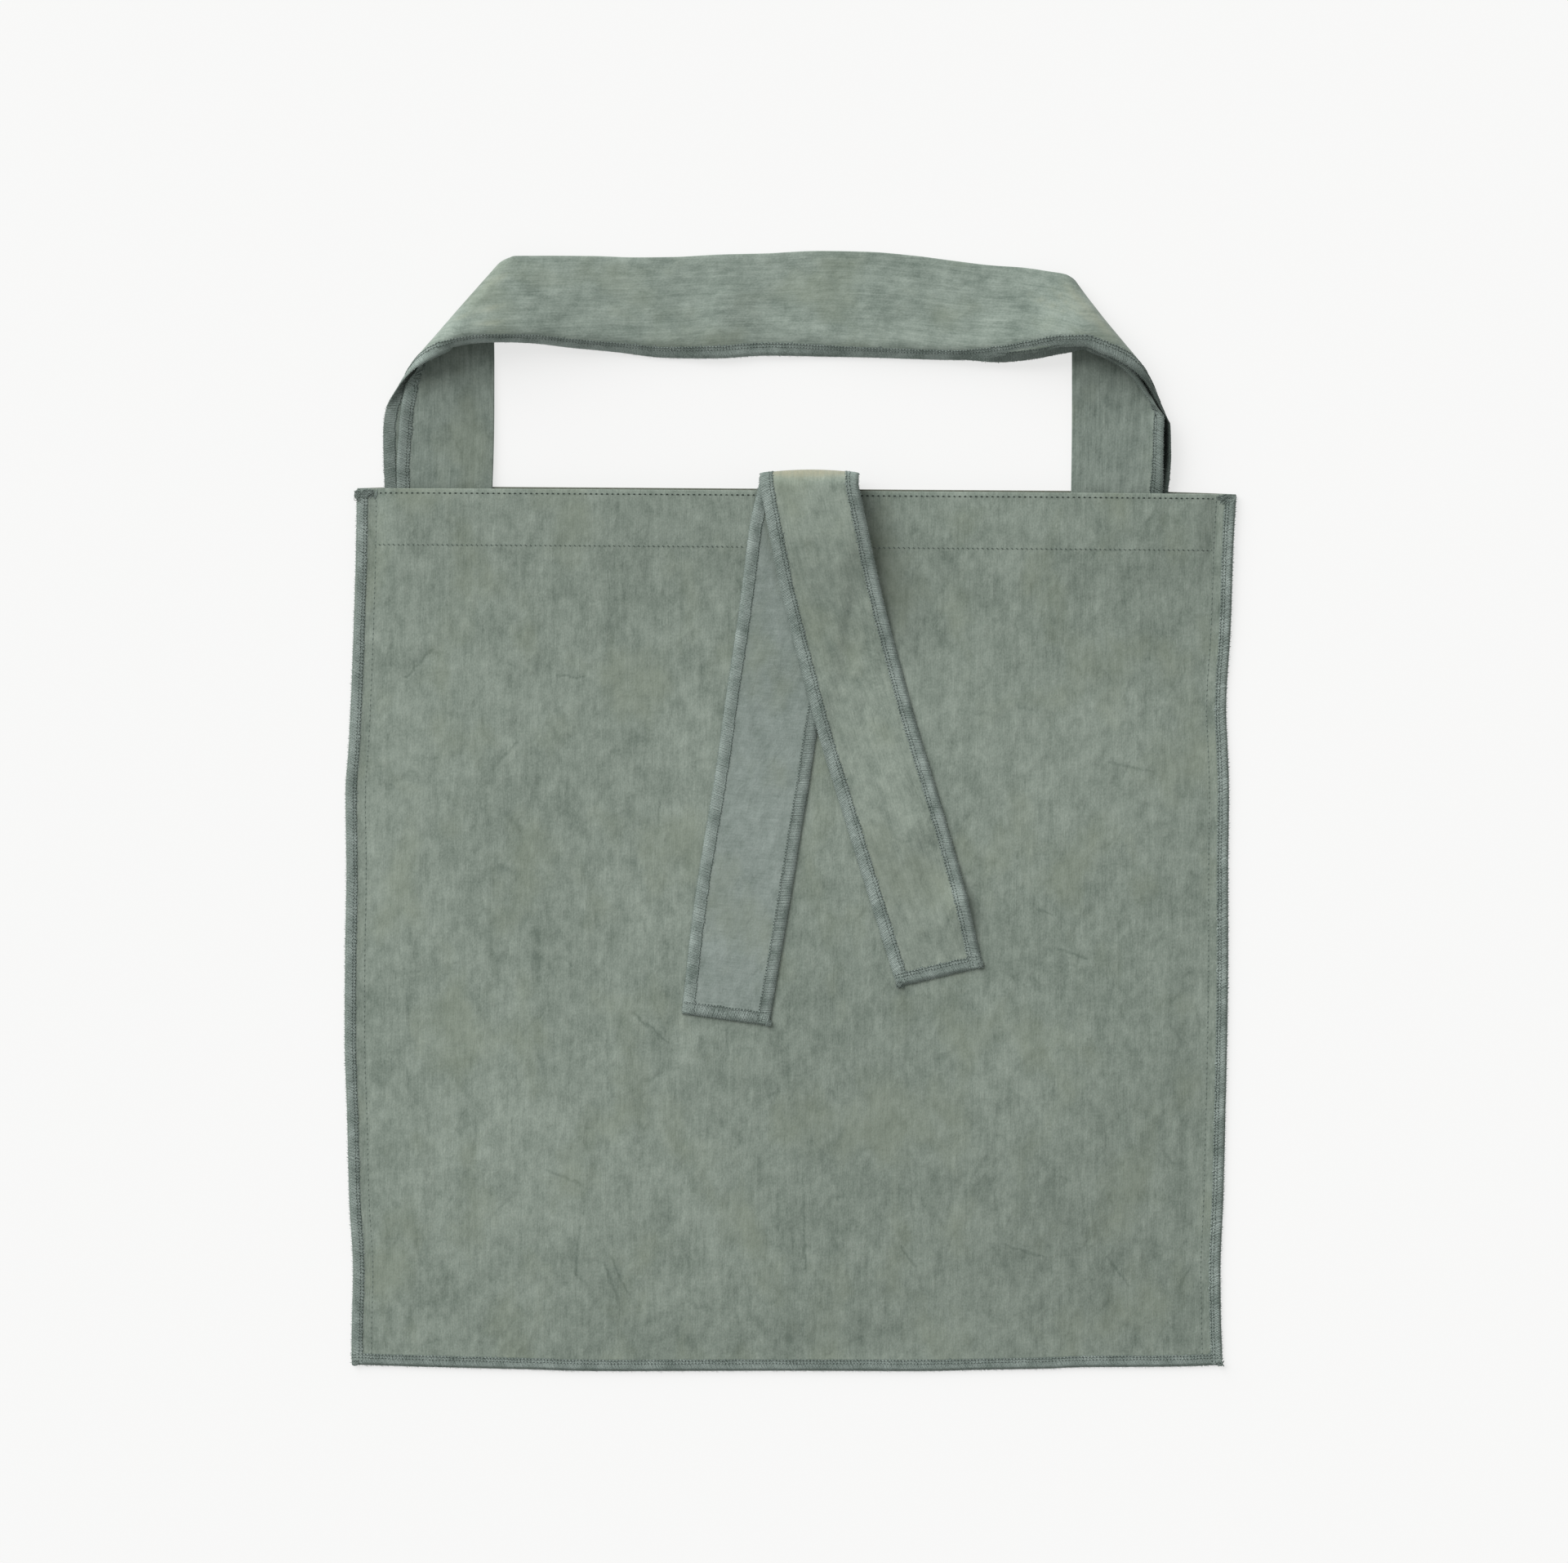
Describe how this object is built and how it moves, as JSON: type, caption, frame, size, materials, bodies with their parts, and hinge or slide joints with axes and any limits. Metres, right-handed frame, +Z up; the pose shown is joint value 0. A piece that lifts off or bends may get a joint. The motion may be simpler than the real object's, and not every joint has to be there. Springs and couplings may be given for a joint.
{
  "type": "tote bag",
  "caption": "Unlined sage-green cotton tote bag lying flat, mouth hemmed, with a strap folded lengthwise that turns over at both corners and cloth ties hanging over the mouth.",
  "frame": {"origin": "on the surface the bag lies on, under the middle of its outline", "axes": "+Y from the bottom seam towards the mouth and the strap, +X to the right as seen from above, +Z up out of the front panel"},
  "size_m": [0.4369, 0.5488, 0.0209],
  "materials": {
    "back_cloth": "plain-woven sage-green cotton, matt, a little darker inside the mouth",
    "front_cloth": "plain-woven sage-green cotton, matt, washed, with fine crinkles",
    "strap_cloth": "plain-woven sage-green cotton in two layers, overlocked raw edges",
    "tie_wrong_side": "wrong side of the sage-green cotton, smoother and greyer, overlocked edges",
    "tie_right_side": "right side of the sage-green cotton, overlocked edges"
  },
  "bodies": {
    "root": {"back_panel": "back_cloth", "front_panel": "front_cloth", "strap": "strap_cloth", "tie_front": "tie_wrong_side", "tie_back": "tie_right_side"}
  },
  "joints": []
}
